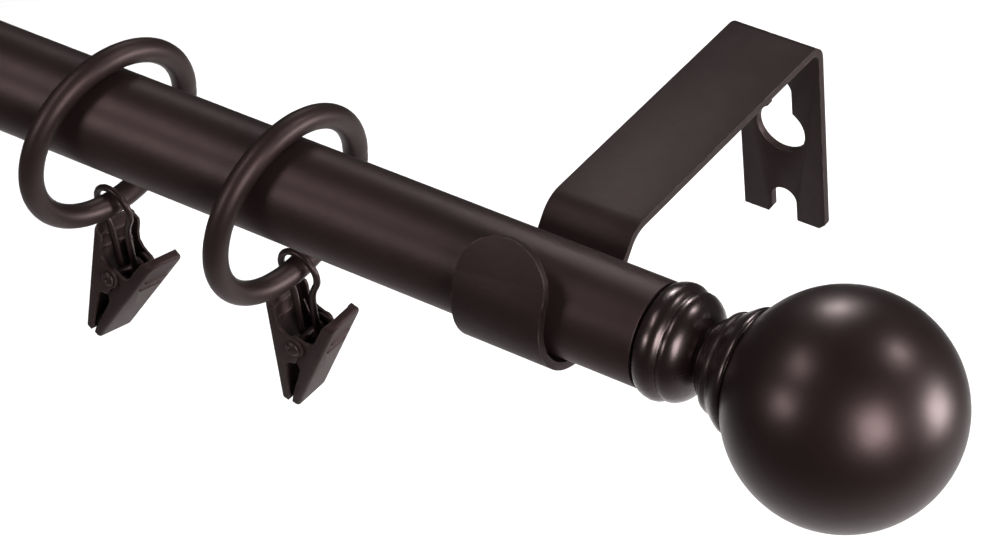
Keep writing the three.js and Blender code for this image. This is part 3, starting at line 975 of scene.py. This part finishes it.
def openChannel(jaw, kind):
    # deletes the inner side, which leaves the plate, the two cheeks, the nose and the front jaw's end rim
    nose, thumb, corner = (clip[kind][key] for key in ("nose", "thumb", "corner"))
    bpy.ops.mesh.select_mode(type="FACE")
    bpy.ops.mesh.select_all(action="DESELECT")
    shell = bmesh.from_edit_mesh(jaw.data)
    for face in shell.faces:
        centre = face.calc_center_median() / mm
        onPlate = centre.x > plateX(centre.z) - 0.95 and face.normal.x > 0.05
        # the hanger passes over the back jaw's end, so only the front one keeps a rim there
        onRim = kind == "front" and centre.z > thumb - corner - 0.05 and abs(face.normal.x) < 0.3
        onNose = face.normal.z < -0.9 and centre.z < nose + 1
        onCheek = abs(face.normal.y) > 0.99
        if not (onPlate or onRim or onNose or onCheek):
            face.select_set(True)
    bmesh.update_edit_mesh(jaw.data)
    bpy.ops.mesh.delete(type="FACE")
    bpy.ops.object.mode_set(mode="OBJECT")


def pressRib(jaw, up, length):
    startPiece()
    bpy.ops.mesh.primitive_cylinder_add(
        vertices=24, radius=ribs["radius"] * mm, depth=length * mm,
        location=((plateX(up) - ribs["sunk"]) * mm, 0, up * mm), rotation=(math.pi / 2, 0, 0),
    )
    rib = bpy.context.object
    bpy.ops.object.transform_apply(location=True, rotation=True, scale=True)
    softenEdges(rib, ribs["endRounding"], 4, 60)
    cutWith(jaw, rib, "UNION")


def drillRivetHole(jaw, length):
    startPiece()
    bpy.ops.mesh.primitive_cylinder_add(
        vertices=32, radius=clip["hole"] * mm, depth=length * mm, rotation=(math.pi / 2, 0, 0),
    )
    hole = bpy.context.object
    bpy.ops.object.transform_apply(location=True, rotation=True, scale=True)
    cutWith(jaw, hole)


def buildJaw(kind):
    half, nose, thumb, corner = (clip[kind][key] for key in ("half", "nose", "thumb", "corner"))
    jaw = drawOutline(kind + "Jaw1", inMetres(jawOutline(nose, thumb)))
    pushOut(jaw, 2 * half * mm)
    foldJaw(jaw, thumb, corner)
    openChannel(jaw, kind)
    applyModifier(jaw, "SOLIDIFY", thickness=clip["sheet"] * mm, offset=-1, use_even_offset=True)
    for up in ribs["up"]:
        pressRib(jaw, up, 2 * (half - ribs["margin"]))
    drillRivetHole(jaw, 4 * half)
    softenEdges(jaw, clip["edge"], 2, 50)
    if kind == "back":
        placeMesh(jaw, Matrix.Rotation(math.pi, 4, "Z"))
    return jaw


# The rivet's head is drawn as (out past the shank's end, radius), with a dimple in its middle
rivetShape = {
    "shank": 6.7,
    "shankRadius": 1.2,
    "sides": 40,
    "head": [
        (0.28, 0.05), (0.3, 0.55), (0.58, 0.78), (0.78, 1.05), (0.72, 1.4),
        (0.5, 1.75), (0.25, 2.0), (0.08, 2.09), (0, 2.1),
    ],
}


def buildRivet():
    shank = rivetShape["shank"]
    head = [(shank + out, radius) for out, radius in rivetShape["head"]]
    head.append((shank, rivetShape["shankRadius"]))
    profile = [(-x, radius) for x, radius in head] + head[::-1]
    rivet = turnProfile("rivet1", inMetres(profile), rivetShape["sides"])
    editPiece()
    bpy.ops.mesh.fill_holes(sides=0)
    bpy.ops.mesh.normals_make_consistent(inside=False)
    bpy.ops.object.mode_set(mode="OBJECT")
    placeMesh(rivet, Matrix.Rotation(math.pi / 2, 4, "Z"))
    return rivet


# The spring's coil winds round the rivet beside the hanger, with one leg against each jaw
springShape = {
    "wire": 0.4,
    "coilRadius": 2.1,
    "turns": 1.336,
    "start": -29.6,
    "pitch": 0.9,
    "firstY": 2.4,
    "legs": [(5.6, 5.6), (3.8, 2.4)],
    "steps": 44,
}


def buildSpring():
    radius, turns, firstY = springShape["coilRadius"], springShape["turns"], springShape["firstY"]
    steps, pitch = springShape["steps"], springShape["pitch"]
    coil = []
    for step in range(steps + 1):
        done = turns * step / steps
        angle = math.radians(springShape["start"]) - 2 * math.pi * done
        coil.append((radius * math.cos(angle), firstY + pitch * done, radius * math.sin(angle)))
    frontLeg = [(x, firstY, z) for x, z in springShape["legs"]]
    backLeg = [(-x, firstY + pitch * turns, z) for x, z in springShape["legs"][::-1]]
    return sweep("spring1", inMetres(frontLeg + coil + backLeg), springShape["wire"] * mm, False)


def placeRingAndClip(which, ring, wire, back, front, rivet, spring):
    x, y, z = rings[which]["place"]
    turn = turnedBy(yaw=rings[which]["yaw"], tilt=rings[which]["pitch"])
    placeMesh(ring, Matrix.Translation((x * mm, rodY + y * mm, z * mm)) @ turn)
    finishPiece(ring, "bronze", f"ring_{which}_body", "ring_" + which, sharp=60)

    pivot = Matrix.Translation(joints[f"hanger_{which}_swing"]["pos_m"])
    placeMesh(wire, pivot @ turnedBy(yaw=hanger[which]["yaw"], tilt=hanger[which]["swing"]))
    finishPiece(wire, "wireBronze", f"hanger_{which}_body", "hanger_" + which)

    place = Matrix.Translation(joints[f"clip_{which}_tilt"]["pos_m"]) @ turnedBy(**clip[which])
    for piece in (back, front, rivet, spring):
        placeMesh(piece, place)
    finishPiece(back, "stampedBronze", f"clip_{which}_body", "clip_back_jaw_" + which, sharp=32)
    finishPiece(front, "stampedBronze", f"clip_{which}_front", "clip_front_jaw_" + which, sharp=32)
    finishPiece(rivet, "bronze", f"clip_{which}_body", "clip_rivet_" + which, sharp=50)
    finishPiece(spring, "wireBronze", f"clip_{which}_body", "clip_spring_" + which)
    print("ring", which, "and its clip placed")


firstSet = [buildRing(), buildHanger(), buildJaw("back"), buildJaw("front"), buildRivet(), buildSpring()]
secondSet = [copyPiece(piece, piece.name[:-1] + "2") for piece in firstSet]
placeRingAndClip("1", *firstSet)
placeRingAndClip("2", *secondSet)

# Hidden inserts keep their solids and get their finishes
for node, finish in (
    ("glide_plug", "nylon"), ("end_plug_right", "nylon"), ("end_plug_left", "nylon"),
    ("finial_stud_right", "zinc"), ("finial_stud_left", "zinc"),
):
    for slot in frame["nodes"][node].material_slots:
        slot.material = finishes[finish]
